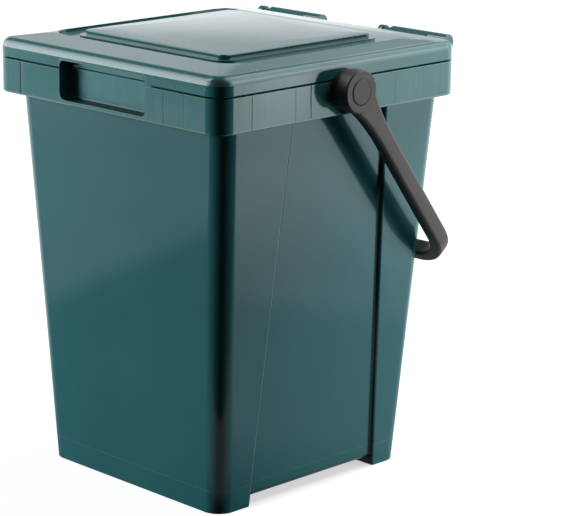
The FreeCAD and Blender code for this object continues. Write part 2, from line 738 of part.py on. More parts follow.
grip_x = arm_centre(neck_length)
grip_profile = arm_section("grip_profile", neck_length, arm_width)
loft(bail, "AdditiveLoft", "neck", [arm_section("neck_root", boss_radius / 3, arm_root_width, arm_root_relief),
                                    arm_section("neck_middle", neck_length * 0.45, arm_neck_width),
                                    arm_section("neck_taper", neck_length * 0.73, arm_taper_width), grip_profile],
     False)
spine = new_sketch(bail, "grip_path", "XZ_Plane", 0)
lean = Size(math.degrees(math.atan(1 / arm_lean.value)), "atan(1 / %s)" % arm_lean.text)
turn_angle = math.radians(lean.value)
bend = bail_bend.value
foot_x = grip_x.value - arm_lean.value * (bail_length.value - neck_length.value)
tangent = bend * math.tan((math.pi - (math.pi - turn_angle)) / 2)
upper = FreeCAD.Vector(foot_x + tangent * math.cos(turn_angle), -bail_length.value + tangent * math.sin(turn_angle), 0)
lower = FreeCAD.Vector(foot_x - tangent, -bail_length.value, 0)
centre = FreeCAD.Vector(lower.x, lower.y + bend, 0)
spine.addGeometry(Part.LineSegment(upper, FreeCAD.Vector(grip_x.value, -neck_length.value, 0)), False)
bow_angle = math.atan2(upper.y - centre.y, upper.x - centre.x)
spine.addGeometry(Part.ArcOfCircle(Part.Circle(centre, FreeCAD.Vector(0, 0, 1), bend), -math.pi / 2, bow_angle), False)
spine.addGeometry(Part.LineSegment(FreeCAD.Vector(0, -bail_length.value, 0), lower), False)
spine.addConstraint(Sketcher.Constraint("Tangent", 1, 2, 0, 1))
spine.addConstraint(Sketcher.Constraint("Tangent", 2, 2, 1, 1))
spine.addConstraint(Sketcher.Constraint("Horizontal", 2))
hold(spine, Sketcher.Constraint("Radius", 1, bend), bail_bend)
hold(spine, Sketcher.Constraint("Angle", 0, turn_angle), lean)
place(spine, 0, 2, 0, grip_x)
place(spine, 0, 2, 1, -neck_length)
place(spine, 2, 1, 0, 0)
place(spine, 2, 1, 1, -bail_length)
grip = bail.newObject("PartDesign::AdditivePipe", "grip")
grip.Profile = grip_profile
grip.Spine = spine
grip.Mode = "Frenet"

pocket(bail, "boss_bore", circle(bail, "boss_bore_outline", "YZ_Plane", boss_inner - 1, 0, 0, collar_bore),
       boss_thickness + 2, True)
pocket(bail, "head_seat", circle(bail, "head_seat_outline", "YZ_Plane", boss_outer, 0, 0,
                                 pivot_head_radius + pivot_head_gap), pivot_head_thickness)
doc.recompute()
whole = bail.newObject("PartDesign::Mirrored", "bail_pair")
whole.TransformMode = "Whole shape"
whole.MirrorPlane = (origin_item(bail, "YZ_Plane"), [""])
bail.Tip = whole

# The bow leans on the rear wall at rest
reach = (arm_thickness / 2 + arm_width / 2 - arm_round * 2) * COS45 + arm_round + bail_clearance
ratio = (wall_rear(pivot_z) * cosine_of(rear_slope) + reach) / bail_length
rest = Size(math.degrees(math.asin(ratio.value)), "asin(%s)" % ratio.text) - rear_lean
bail.Placement = FreeCAD.Placement(FreeCAD.Vector(0, -frame_shift.value, pivot_z.value),
                                   FreeCAD.Rotation(FreeCAD.Vector(1, 0, 0), rest.value))
bail.setExpression("Placement.Base.z", pivot_z.text)
bail.setExpression("Placement.Rotation.Angle", rest.text)


# Pins and collars are turned shapes, drawn along X
def turned(label, points, base, flip):
    body = new_body(label)
    profile = polygon(body, label + "_profile", "XY_Plane", 0, points)
    spin = body.newObject("PartDesign::Revolution", label + "_turned")
    spin.Profile = profile
    spin.ReferenceAxis = (origin_item(body, "X_Axis"), [""])
    spin.Angle = 360
    turn = FreeCAD.Rotation(FreeCAD.Vector(0, 0, 1), 180 if flip else 0)
    body.Placement = FreeCAD.Placement(FreeCAD.Vector(*[as_size(item).value for item in base]), turn)
    for axis, item in zip("xyz", base):
        body.setExpression("Placement.Base.%s" % axis, as_size(item).text)
    return body


nose = as_size(0.8)
head_start = boss_outer - pivot_head_thickness + 0.1 - side_face
head_end = head_start + pivot_head_thickness + 0.5
collar_face = collar_standoff + collar_thickness
bodies = [bin_body, lid, bail]
for side, flip in (("left", True), ("right", False)):
    face = -side_face if flip else side_face
    bodies.append(turned("pivot_pin_" + side, [
        (-pivot_grip, 0), (head_end, 0), (head_end, pivot_head_radius - nose), (head_end - nose, pivot_head_radius),
        (head_start, pivot_head_radius), (head_start, pivot_pin_radius), (-pivot_grip, pivot_pin_radius)],
        (face, -frame_shift, pivot_z), flip))
    bodies.append(turned("pivot_collar_" + side, [
        (0, collar_bore), (collar_face, collar_bore), (collar_face, collar_radius), (collar_standoff, collar_radius),
        (collar_standoff, collar_hub_radius), (0, collar_hub_radius)], (face, -frame_shift, pivot_z), flip))
    hinge_end = ear_end + hinge_pin_grip
    bodies.append(turned("hinge_pin_" + side, [
        (0, 0), (hinge_end, 0), (hinge_end, hinge_pin_radius), (hinge_head_width, hinge_pin_radius),
        (hinge_head_width, hinge_head_radius), (nose, hinge_head_radius), (0, hinge_head_radius - nose)],
        (hinge_starts[side], hinge_y - frame_shift, hinge_z), False))

doc.recompute()

# Nothing is written unless every object is sound
for item in doc.Objects:
    if "Invalid" in item.State or "Error" in item.State:
        raise RuntimeError("bad object: " + item.Name)
os.makedirs("parts", exist_ok=True)
for body in bodies:
    shape = body.Shape
    if shape.isNull() or not shape.isValid() or len(shape.Solids) != 1:
        raise RuntimeError("bad shape: " + body.Label)
    shape.exportStep("parts/%s.step" % body.Label)
    box = shape.BoundBox
    print(body.Label, "%.1f cm3" % (shape.Volume / 1000), len(shape.Faces), "faces",
          "x %.1f %.1f y %.1f %.1f z %.1f %.1f" % (box.XMin, box.XMax, box.YMin, box.YMax, box.ZMin, box.ZMax))
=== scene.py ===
import bpy
import json
import math
from mathutils import Matrix, Vector


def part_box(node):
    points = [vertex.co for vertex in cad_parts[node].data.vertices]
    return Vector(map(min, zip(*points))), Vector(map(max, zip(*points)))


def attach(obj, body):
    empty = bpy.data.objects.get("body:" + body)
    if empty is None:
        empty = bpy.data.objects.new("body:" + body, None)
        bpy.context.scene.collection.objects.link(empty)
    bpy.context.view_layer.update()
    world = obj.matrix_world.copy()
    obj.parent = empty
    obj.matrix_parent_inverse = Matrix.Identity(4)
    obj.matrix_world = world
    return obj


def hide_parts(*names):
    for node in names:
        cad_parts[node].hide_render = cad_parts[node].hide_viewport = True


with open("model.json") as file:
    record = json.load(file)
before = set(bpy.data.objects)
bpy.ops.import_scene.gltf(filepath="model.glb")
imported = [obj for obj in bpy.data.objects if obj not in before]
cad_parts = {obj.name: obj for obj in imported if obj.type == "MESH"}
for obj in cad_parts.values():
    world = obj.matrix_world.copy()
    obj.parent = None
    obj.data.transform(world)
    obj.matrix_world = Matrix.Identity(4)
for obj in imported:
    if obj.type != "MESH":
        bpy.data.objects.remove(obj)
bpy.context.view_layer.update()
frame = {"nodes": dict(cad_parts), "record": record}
record = frame["record"]
body_of = {node: body for body, nodes in record["behaviour"]["bodies"].items() for node in nodes}
rim_low, rim_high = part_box("bin_body")


# Shader sums: a socket in an expression adds its own Math nodes
class Wire:
    def __init__(self, finish, socket):
        self.finish = finish
        self.socket = socket

    def calculate(self, operation, *others):
        values = [self] + list(others)
        return self.finish.node("ShaderNodeMath", {"operation": operation}, dict(enumerate(values)))

    def __add__(self, other):
        return self.calculate("ADD", other)

    def __mul__(self, other):
        return self.calculate("MULTIPLY", other)

    def __sub__(self, other):
        return self.calculate("SUBTRACT", other)

    def __rsub__(self, other):
        return self.finish.node("ShaderNodeMath", {"operation": "SUBTRACT"}, {0: other, 1: self})

    def __neg__(self):
        return self * -1.0

    def __abs__(self):
        return self.calculate("ABSOLUTE")

    def most(self, other):
        return self.calculate("MAXIMUM", other)

    def above(self, edge, soft):
        """0 below the edge, 1 above it, with a soft step."""
        return self.finish.node("ShaderNodeMapRange", {"interpolation_type": "SMOOTHSTEP"}, {
            "Value": self, "From Min": edge - soft, "From Max": edge + soft, "To Min": 0.0, "To Max": 1.0})

    def within(self, low, high, soft):
        """1 between the two edges, 0 outside them, with soft steps."""
        return self.above(low, soft) * (1 - self.above(high, soft))

    def ramp(self, low, high):
        """0 below the low end, 1 above the high end, straight between them."""
        return self.finish.node("ShaderNodeMapRange", {"clamp": True}, {
            "Value": self, "From Min": low, "From Max": high, "To Min": 0.0, "To Max": 1.0})

    def line(self, centre, core, reach):
        """1 up to the core's distance from the centre, 0 beyond the reach."""
        return 1 - abs(self - centre).ramp(core, reach)


# Places of the colour sockets on a Mix node
MIX_FACTOR = 0
MIX_FIRST = 6
MIX_SECOND = 7
MIX_RESULT = 2


class Finish:
    """A node material on a piece's own coordinates."""
    output_kind = "ShaderNodeOutputMaterial"
    place_kind = "Object"

    def __init__(self, name):
        self.material = bpy.data.materials.new(name)
        self.start(self.material)

    def start(self, owner):
        owner.use_nodes = True
        self.tree = owner.node_tree
        self.tree.nodes.clear()
        self.place = self.node("ShaderNodeTexCoord", out=self.place_kind)

    def node(self, kind, settings=None, sockets=None, out=0):
        made = self.tree.nodes.new(kind)
        for name, value in (settings or {}).items():
            setattr(made, name, value)
        for name, value in (sockets or {}).items():
            if isinstance(value, Wire):
                self.tree.links.new(value.socket, made.inputs[name])
            else:
                made.inputs[name].default_value = value
        return Wire(self, made.outputs[out])

    def outputs(self, wire, names):
        return [Wire(self, wire.socket.node.outputs[name]) for name in names]

    def axes(self):
        split = self.node("ShaderNodeSeparateXYZ", None, {"Vector": self.place})
        return self.outputs(split, "XYZ")

    def rays(self):
        """Three switches: 1 for a ray from the camera, from a glossy surface, or through a clear one."""
        path = self.node("ShaderNodeLightPath")
        return self.outputs(path, ("Is Camera Ray", "Is Glossy Ray", "Is Transmission Ray"))

    def noise(self, scale, detail, rough=0.5, stretch=None):
        """Cloudy pattern with a number of features per metre."""
        place = self.place
        if stretch:
            place = self.node("ShaderNodeMapping", None, {"Vector": place, "Scale": stretch})
        return self.node("ShaderNodeTexNoise", None, {
            "Vector": place, "Scale": scale, "Detail": detail, "Roughness": rough}, "Fac")

    def blend(self, mask, first, second):
        sockets = {MIX_FACTOR: mask, MIX_FIRST: first, MIX_SECOND: second}
        return self.node("ShaderNodeMix", {"data_type": "RGBA"}, sockets, MIX_RESULT)

    def bump(self, height, strength, depth):
        return self.node("ShaderNodeBump", None, {"Height": height, "Strength": strength, "Distance": depth})

    def surface(self, **sockets):
        named = {key.replace("_", " "): value for key, value in sockets.items()}
        return self.node("ShaderNodeBsdfPrincipled", None, named)

    def show(self, shader):
        output = self.tree.nodes.new(self.output_kind)
        self.tree.links.new(shader.socket, output.inputs["Surface"])


class Surroundings(Finish):
    """The world's nodes, on the direction of a ray."""
    output_kind = "ShaderNodeOutputWorld"
    place_kind = "Generated"

    def __init__(self, name):
        world = bpy.data.worlds.new(name)
        self.start(world)
        bpy.context.scene.world = world


def shade(red, green, blue):
    return (red, green, blue, 1.0)


WHITE = shade(1, 1, 1)

# Faces of the rim band; the box of the bin ends at the top of the hinge ears
EARS_OVER_BAND_LOW = 0.052
EARS_OVER_BAND_HIGH = 0.0196
rim_face_x = rim_high.x
rim_face_y = -rim_low.y
band_low = rim_high.z - EARS_OVER_BAND_LOW
band_high = rim_high.z - EARS_OVER_BAND_HIGH
BAND_START = band_low - 0.001
BAND_LOW_EDGE = band_low + 0.0012
BAND_HIGH_EDGE = band_high - 0.0004

# Side walls and their sunken panels: places at the foot, the slope of each with height, and the drawn lines
WALL_FOOT = 0.120
WALL_SHEAR = 0.024 / 0.3994
PANEL_FRONT_LOW = -0.0925
PANEL_FRONT_SHEAR = 0.03 / 0.376
PANEL_REAR_LOW = 0.0755
PANEL_REAR_SHEAR = 0.017 / 0.376
PANEL_EDGE_HEIGHT = 0.0095
LOW_LINE_HEIGHT = 0.022
PANEL_STEP = PANEL_FRONT_LOW - 0.0008
PANEL_FACE = WALL_FOOT - 0.0015
WALL_FACE = WALL_FOOT - 0.001
WALL_TOP = band_low - 0.002

# Sink lines over the ribs behind the band, painted as dark lines of shade with a painted highlight beside
# each: place along the face, darkness and width
RIB_HALF = 0.00055
RIB_LINES_FRONT = ((-0.116, 1.0, 1.7), (0.0835, 0.7, 1.0), (0.110, 0.35, 0.8))
RIB_LINES_SIDE = ((-0.1285, 0.7, 1.1), (-0.0741, 0.3, 0.8), (-0.0545, 0.9, 1.2), (0.0575, 0.4, 0.8),
                  (0.0965, 0.4, 0.8))
RIB_CORE = 0.5
RIB_REACH = 1.4
RIB_EDGE_AWAY = 2.6
RIB_EDGE_REACH = 1.6
RIB_FACE = 0.001
RIB_FACE_SOFT = 0.0004
RIB_FOOT = band_low - 0.0004

# Finger recess in the front of the band and the lid, and the painted highlight lines around it
RECESS_HALF = 0.0595
RECESS_DEPTH = 0.0155
RECESS_MOUTH = 0.0009
RECESS_SILL = band_low + 0.004
RECESS_TOP = band_low + 0.041
RECESS_END_FADE = 0.003
HOLLOW_HALF = RECESS_HALF + 0.0005
HOLLOW_LOW = RECESS_SILL - 0.0012
HOLLOW_HIGH = RECESS_TOP + 0.0005
LEDGE_HIGH = RECESS_SILL + 0.0003
ROOT_HEIGHT = RECESS_SILL + 0.0012
SILL_HEIGHT = RECESS_SILL - 0.0005
BROW_HEIGHT = RECESS_TOP + 0.0006
END_PLACE = RECESS_HALF + 0.0006

# Core and reach of the drawn lines, and the soft steps of the masks around them
FINE_LINE = (0.0002, 0.0007)
END_LINE = (0.0002, 0.0008)
THIN_LINE = (0.0003, 0.0009)
PANEL_EDGE_LINE = (0.0003, 0.0011)
ROOT_LINE = (0.0004, 0.0012)
STEP_LINE = (0.0004, 0.0014)
HIGHLIGHT_FACE = 0.0012
HAIR_STEP = 0.0002
CRISP_STEP = 0.0003
WALL_STEP = 0.0004
CLEAN_STEP = 0.0005
BAND_STEP = 0.0006
SOFT_STEP = 0.001

# Greens of the plastic: walls, band and lid, painted shade of the sink lines and the recess's ledge, painted
# highlights and dust
DARK_GREEN = shade(0.0140, 0.078, 0.088)
LIGHT_GREEN = shade(0.0162, 0.090, 0.101)
# Band and lid: painted lighter than the walls, standing in for the stronger light that falls on them
PAINTED_LIT_DARK_GREEN = shade(0.0180, 0.098, 0.104)
PAINTED_LIT_LIGHT_GREEN = shade(0.0205, 0.112, 0.119)
# Painted shade of the sink lines
SINK_SHADE_GREEN = shade(0.002, 0.009, 0.011)
# Painted shade on the recess's ledge
LEDGE_SHADE_GREEN = shade(0.005, 0.048, 0.052)
# Pale colour of the band's streaks, the faint low line and the painted highlights
PALE_STREAK_AND_HIGHLIGHT_GREEN = shade(0.20, 0.27, 0.27)
DUST_GREEN = shade(0.3, 0.36, 0.36)

# Patterns of the plastics, in features per metre, and the parts of them that are used
CLOUD = {"scale": 7.0, "detail": 3.0}
GRAIN = {"scale": 900.0, "detail": 2.0}
PEEL = {"scale": 160.0, "detail": 1.0}
SWAY = {"scale": 9.0, "detail": 0.0}
DUST = {"scale": 420.0, "detail": 4.0, "rough": 0.7}
STREAKS = {"scale": 170.0, "detail": 3.0, "rough": 0.6, "stretch": (1, 1, 0.06)}
GLOSS_SPOTS = {"scale": 30.0, "detail": 3.0}
HANDLE_CLOUD = {"scale": 18.0, "detail": 3.0}
HANDLE_GRAIN = {"scale": 1500.0, "detail": 2.0}
HANDLE_SPOTS = {"scale": 60.0, "detail": 3.0}
CLOUD_RANGE = (0.3, 0.7)
DUST_CUT = (0.71, 0.02)
BAND_STREAK_RANGE = (0.52, 0.75)
LOW_LINE_STREAK_RANGE = (0.3, 0.6)

# How far each pattern shows in the green plastic's colour, height and roughness
BAND_STREAK_SHOWN = 0.06
RIB_SHADE_SHOWN = 0.85
RIB_HIGHLIGHT_SHOWN = 0.16
EDGE_HIGHLIGHT_SHOWN = 0.5
LOW_LINE_SHOWN = 0.14
DUST_SHOWN = 0.05
RECESS_HIGHLIGHT_SHOWN = 0.3
LEDGE_SHADE_SHOWN = 0.85
GRAIN_HEIGHT = 0.02
PEEL_HEIGHT = 0.05
SWAY_HEIGHT = 0.8
RIB_HEIGHT = 0.3
GREEN_BUMP = (0.35, 0.0012)
GREEN_SPREAD = 0.06
RECESS_ROUGHNESS = 0.16
GREEN_IOR = 1.5

# Strength of each painted highlight line
BAND_LOW_HIGHLIGHT = 0.6
BAND_HIGH_HIGHLIGHT = 0.45
STEP_HIGHLIGHT = 1.4
PANEL_EDGE_HIGHLIGHT = 0.9
RECESS_END_HIGHLIGHT = 0.5
RECESS_SILL_HIGHLIGHT = 0.4
RECESS_ROOT_HIGHLIGHT = 1.6


def rib_lines(x, y, z):
    """Painted shade along the sink lines of the ribs on the outside of the rim band, and the painted
    highlight beside each of them.
    """
    dark = None
    pale = None
    on_front = (-y).above(rim_face_y - RIB_FACE, RIB_FACE_SOFT)
    on_side = abs(x).above(rim_face_x - RIB_FACE, RIB_FACE_SOFT)
    for along, face, places in ((x, on_front, RIB_LINES_FRONT), (y, on_side, RIB_LINES_SIDE)):
        for centre, depth, width in places:
            half = RIB_HALF * width
            line = along.line(centre, half * RIB_CORE, half * RIB_REACH) * face * depth
            edge = along.line(centre + half * RIB_EDGE_AWAY, 0.0, half * RIB_EDGE_REACH) * face * depth
            dark = line if dark is None else dark + line
            pale = edge if pale is None else pale + edge
    band = z.within(RIB_FOOT, band_high, BAND_STEP)
    return dark * band, pale * band


def painted_edge_highlights(x, y, z):
    """Painted highlights: pale rims along the band's two edges, down the front edge of each side panel and
    along its foot.
    """
    on_front = (-y).above(rim_face_y - HIGHLIGHT_FACE, CRISP_STEP)
    on_side = abs(x).above(rim_face_x - HIGHLIGHT_FACE, CRISP_STEP)
    low = z.line(BAND_LOW_EDGE, *THIN_LINE)
    high = z.line(BAND_HIGH_EDGE, *FINE_LINE)
    band = (low * BAND_LOW_HIGHLIGHT + high * BAND_HIGH_HIGHLIGHT) * on_front.most(on_side)
    on_wall = (abs(x) - z * WALL_SHEAR).above(WALL_FACE, WALL_STEP)
    under_band = 1 - z.above(WALL_TOP, SOFT_STEP)
    step = (y - z * PANEL_FRONT_SHEAR).line(PANEL_STEP, *STEP_LINE)
    sunk = 1 - abs(x).above(PANEL_FACE, CLEAN_STEP)
    on_panel = y.within(PANEL_FRONT_LOW, PANEL_REAR_LOW, SOFT_STEP) * sunk
    foot = z.line(PANEL_EDGE_HEIGHT, *PANEL_EDGE_LINE) * on_panel
    return band + step * (on_wall * under_band) * STEP_HIGHLIGHT + foot * PANEL_EDGE_HIGHLIGHT


def finger_recess(x, y, z):
    """The hollow of the finger recess, its ledge where shade is painted, and the painted highlight lines
    around it on the front face and at the foot of its back wall.
    """
    narrow = 1 - abs(x).above(HOLLOW_HALF, CLEAN_STEP)
    hollow = (-y).within(rim_face_y - RECESS_DEPTH, rim_face_y - RECESS_MOUTH, CRISP_STEP) * narrow
    hollow = hollow * z.within(HOLLOW_LOW, HOLLOW_HIGH, CRISP_STEP)
    # Mask of the recess's ledge, where shade is painted
    shaded_ledge = hollow * (1 - z.above(LEDGE_HIGH, HAIR_STEP))
    root = z.line(ROOT_HEIGHT, *ROOT_LINE) * hollow
    face = (-y).above(rim_face_y - HIGHLIGHT_FACE, CRISP_STEP)
    beside = z.within(RECESS_SILL, RECESS_TOP, RECESS_END_FADE)
    ends = abs(x).line(END_PLACE, *END_LINE) * beside
    sill = z.line(SILL_HEIGHT, *THIN_LINE) * narrow
    brow = z.line(BROW_HEIGHT, *THIN_LINE) * narrow
    edges = (ends * RECESS_END_HIGHLIGHT + sill * RECESS_SILL_HIGHLIGHT + brow) * face
    return hollow, shaded_ledge, edges + root * RECESS_ROOT_HIGHLIGHT


# Green plastic: clear gloss over a cloudy colour, painted paler on the lid and the band as if more strongly
# lit
def green_plastic(name, gloss, of_bin):
    finish = Finish(name)
    x, y, z = finish.axes()
    cloud = finish.noise(**CLOUD).ramp(*CLOUD_RANGE)
    dust = finish.noise(**DUST).above(*DUST_CUT)
    colour = finish.blend(cloud, PAINTED_LIT_DARK_GREEN, PAINTED_LIT_LIGHT_GREEN)
    height = (finish.noise(**GRAIN) * GRAIN_HEIGHT + finish.noise(**PEEL) * PEEL_HEIGHT
              + finish.noise(**SWAY) * SWAY_HEIGHT)
    if of_bin:
        streaks = finish.noise(**STREAKS)
        wall = finish.blend(cloud, DARK_GREEN, LIGHT_GREEN)
        on_band = z.above(BAND_START, BAND_STEP)
        band_streaks = on_band * streaks.ramp(*BAND_STREAK_RANGE)
        dark, pale = rib_lines(x, y, z)
        # A faint pale line low on the walls, broken up by the streak pattern
        low_line = z.line(LOW_LINE_HEIGHT, *FINE_LINE) * streaks.ramp(*LOW_LINE_STREAK_RANGE)
        colour = finish.blend(on_band, wall, colour)
        colour = finish.blend(band_streaks * BAND_STREAK_SHOWN, colour, PALE_STREAK_AND_HIGHLIGHT_GREEN)
        # Painted shade along the sink lines and a painted highlight beside each; the bump also dips under the
        # shade
        colour = finish.blend(dark * RIB_SHADE_SHOWN, colour, SINK_SHADE_GREEN)
        colour = finish.blend(pale * RIB_HIGHLIGHT_SHOWN, colour, PALE_STREAK_AND_HIGHLIGHT_GREEN)
        # Painted highlights along the band's edges and the side panels' step and foot
        colour = finish.blend(painted_edge_highlights(x, y, z) * EDGE_HIGHLIGHT_SHOWN, colour, PALE_STREAK_AND_HIGHLIGHT_GREEN)
        colour = finish.blend(low_line * LOW_LINE_SHOWN, colour, PALE_STREAK_AND_HIGHLIGHT_GREEN)
        height = height - dark * RIB_HEIGHT
    colour = finish.blend(dust * DUST_SHOWN, colour, DUST_GREEN)
    hollow, shaded_ledge, recess_highlights = finger_recess(x, y, z)
    # Painted highlights around the finger recess
    colour = finish.blend(recess_highlights * RECESS_HIGHLIGHT_SHOWN, colour, PALE_STREAK_AND_HIGHLIGHT_GREEN)
    roughness = finish.noise(**GLOSS_SPOTS) * GREEN_SPREAD + gloss + hollow * RECESS_ROUGHNESS
    glossy = finish.surface(Base_Color=colour, Roughness=roughness, IOR=GREEN_IOR,
                            Normal=finish.bump(height, *GREEN_BUMP))
    # Painted shade: a dull dark diffuse mixed over the recess's ledge
    painted_ledge_shade = finish.node("ShaderNodeBsdfDiffuse", None, {"Color": LEDGE_SHADE_GREEN})
    finish.show(finish.node("ShaderNodeMixShader", None, {0: shaded_ledge * LEDGE_SHADE_SHOWN, 1: glossy, 2: painted_ledge_shade}))
    return finish.material


# Grey plastic of the handle: fine moulded grain over a slightly cloudy warm grey
GREY_DARK = (0.95, 0.9, 0.88)
GREY_LIGHT = (1.12, 1.06, 1.02)
GREY_BUMP = (0.25, 0.0004)
GREY_SPREAD = 0.1
GREY_IOR = 1.48


def grey_plastic(name, tone, rough):
    finish = Finish(name)
    cloud = finish.noise(**HANDLE_CLOUD).ramp(*CLOUD_RANGE)
    dark, light = [shade(*[tone * part for part in parts]) for parts in (GREY_DARK, GREY_LIGHT)]
    roughness = finish.noise(**HANDLE_SPOTS) * GREY_SPREAD + rough
    finish.show(finish.surface(Base_Color=finish.blend(cloud, dark, light), Roughness=roughness, IOR=GREY_IOR,
                               Normal=finish.bump(finish.noise(**HANDLE_GRAIN), *GREY_BUMP)))
    return finish.material


bin_finish = green_plastic("bin_green_gloss", gloss=0.06, of_bin=True)
lid_finish = green_plastic("lid_green_gloss", gloss=0.09, of_bin=False)
handle_finish = grey_plastic("handle_grey_matte", tone=0.026, rough=0.46)
# The collars: the handle's grey, painted darker to stand in for the shade they sit in
shaded_collar_finish = grey_plastic("collar_grey_painted_shade", tone=0.012, rough=0.5)

# Pieces: copies of the frame's solids with their triangles joined, shaded smooth between sharp edges
SAME_POINT = 0.000004
FLAT_ANGLE = math.radians(0.4)
SHARP_ANGLE = math.radians(32)
EVEN_WEIGHT = 90


def deselect():
    bpy.ops.object.select_all(action="DESELECT")


def dressed(node, name, material, shape=None):
    """Copy of a node with its triangles joined into faces; it stands for the node."""
    deselect()
    source = frame["nodes"][node]
    source.select_set(True)
    bpy.context.view_layer.objects.active = source
    bpy.ops.object.duplicate()
    piece = bpy.context.active_object
    piece.name = name
    piece.data.name = name
    for key in list(piece.keys()):
        del piece[key]
    piece.parent = None
    piece.matrix_world = Matrix.Identity(4)
    bpy.ops.object.mode_set(mode="EDIT")
    bpy.ops.mesh.select_all(action="SELECT")
    bpy.ops.mesh.remove_doubles(threshold=SAME_POINT)
    bpy.ops.mesh.dissolve_limited(angle_limit=FLAT_ANGLE)
    bpy.ops.object.mode_set(mode="OBJECT")
    if shape:
        shape(piece)
    bpy.ops.object.mode_set(mode="EDIT")
    bpy.ops.mesh.select_mode(type="EDGE")
    bpy.ops.mesh.select_all(action="DESELECT")
    bpy.ops.mesh.edges_select_sharp(sharpness=SHARP_ANGLE)
    bpy.ops.mesh.mark_sharp()
    bpy.ops.object.mode_set(mode="OBJECT")
    bpy.ops.object.shade_smooth()
    evening = piece.modifiers.new("even_shading", "WEIGHTED_NORMAL")
    evening.keep_sharp = True
    evening.weight = EVEN_WEIGHT
    bpy.ops.object.modifier_apply(modifier=evening.name)
    piece.data.materials.clear()
    piece.data.materials.append(material)
    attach(piece, body_of[node])
    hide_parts(node)


# Side panels in the copy of the bin: full depth, depth where the change ends, and the part of the depth kept
PANEL_DEPTH = 0.0081
PANEL_FADE = 0.0165
PANEL_KEPT = 0.5
PANEL_LEAST = 0.0002
PANEL_MARGIN = 0.0006
PANEL_TOP = band_low + 0.012


def shallow_panels(piece):
    """Draws the sunken side panels out to the step that the photograph shows."""
    for vertex in piece.data.vertices:
        place = vertex.co
        sunk = WALL_FOOT + place.z * WALL_SHEAR - abs(place.x)
        front = PANEL_FRONT_LOW + place.z * PANEL_FRONT_SHEAR - PANEL_MARGIN
        rear = PANEL_REAR_LOW - place.z * PANEL_REAR_SHEAR + PANEL_MARGIN
        if PANEL_LEAST < sunk < PANEL_FADE and front < place.y < rear and place.z < PANEL_TOP:
            lift = min(sunk, PANEL_DEPTH) * (1 - PANEL_KEPT)
            if sunk > PANEL_DEPTH:
                lift = lift * (PANEL_FADE - sunk) / (PANEL_FADE - PANEL_DEPTH)
            place.x += math.copysign(lift, place.x)


dressed("bin_body", "bucket_shell", bin_finish, shallow_panels)
dressed("lid", "lid_shell", lid_finish)
dressed("bail_handle", "bail_loop", handle_finish)
for side in ("left", "right"):
    dressed("pivot_pin_" + side, "pivot_cap_" + side, handle_finish)
    dressed("pivot_collar_" + side, "pivot_ring_" + side, shaded_collar_finish)
    dressed("hinge_pin_" + side, "hinge_rod_" + side, lid_finish)

# Return of each corner column below the side panels, down to the floor
FOOT_REACH = 0.024
FOOT_INSET = 0.0016
FOOT_HEIGHT = 0.0088
FOOT_ROUND = 0.0005
FOOT_WALL = 0.0026


def foot_return(name, turn, front, back):
    deselect()
    bpy.ops.mesh.primitive_cube_add(size=1, location=(0, 0, 0))
    piece = bpy.context.active_object
    piece.name = name
    piece.data.name = name
    bpy.ops.object.mode_set(mode="EDIT")
    bpy.ops.transform.resize(value=(FOOT_REACH, abs(back - front), FOOT_HEIGHT))
    middle = (turn * (WALL_FOOT - FOOT_INSET - FOOT_REACH / 2), (front + back) / 2, FOOT_HEIGHT / 2)
    bpy.ops.transform.translate(value=middle)
    bpy.ops.mesh.select_all(action="SELECT")
    bpy.ops.mesh.bevel(offset=FOOT_ROUND, segments=2, affect="EDGES")
    bpy.ops.object.mode_set(mode="OBJECT")
    bpy.ops.object.shade_smooth_by_angle(angle=SHARP_ANGLE)
    piece.data.materials.append(bin_finish)
    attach(piece, "bin")


for turn, side in ((-1, "left"), (1, "right")):
    foot_return("foot_return_front_" + side, turn, PANEL_FRONT_LOW - FOOT_WALL, PANEL_FRONT_LOW)
    foot_return("foot_return_rear_" + side, turn, PANEL_REAR_LOW, PANEL_REAR_LOW + FOOT_WALL)

# Directions of the studio: towards the camera, and across to the right of the picture
AZIMUTH = math.radians(46.13)
TO_CAMERA = (math.sin(AZIMUTH), -math.cos(AZIMUTH))
TO_RIGHT = (math.cos(AZIMUTH), math.sin(AZIMUTH))

FLOOR_SIZE = 14

# Floor in the gloss, in metres: start and full end of each glow, or edge and softness, and its strength
RIGHT_NEAR = (0.02, 0.2)
RIGHT_NEAR_GLOW = 0.44
RIGHT_EDGE = (0.56, 0.05)
RIGHT_EDGE_GLOW = 0.3
RIGHT_MIDDLE = (0.6, 1.05)
RIGHT_MIDDLE_GLOW = 0.7
RIGHT_MIDDLE_GAIN = 0.35
RIGHT_FAR = (1.25, 1.8)
RIGHT_FAR_GLOW = 1.25
RIGHT_END = (2.0, 2.5)
RIGHT_END_GLOW = 1.7
RIGHT_BEYOND_PART = 0.3
RIGHT_BEYOND_GAIN = 1.2
RIGHT_REAR_FALL = (0.06, 0.24)
RIGHT_FRONT_FALL = (0.22, 0.46)
LEFT_NEAR = (0.02, 0.2)
LEFT_NEAR_GLOW = 0.1
LEFT_EDGE = (0.70, 0.06)
LEFT_EDGE_SLANT = 1.3
LEFT_EDGE_GLOW = 0.44
LEFT_FAR = (1.3, 1.9)
LEFT_FAR_GLOW = 0.4
LEFT_END = (2.1, 2.6)
LEFT_END_LOSS = 0.8
LEFT_FRONT_CUT = (0.28, 0.05)
BEHIND = (0.0, 0.35)
BEHIND_GLOW = 1.2
BEFORE = (0.20, 0.36, 0.02)
BEFORE_WIDTH = (0.15, 0.35)
BEFORE_GLOW = 0.3

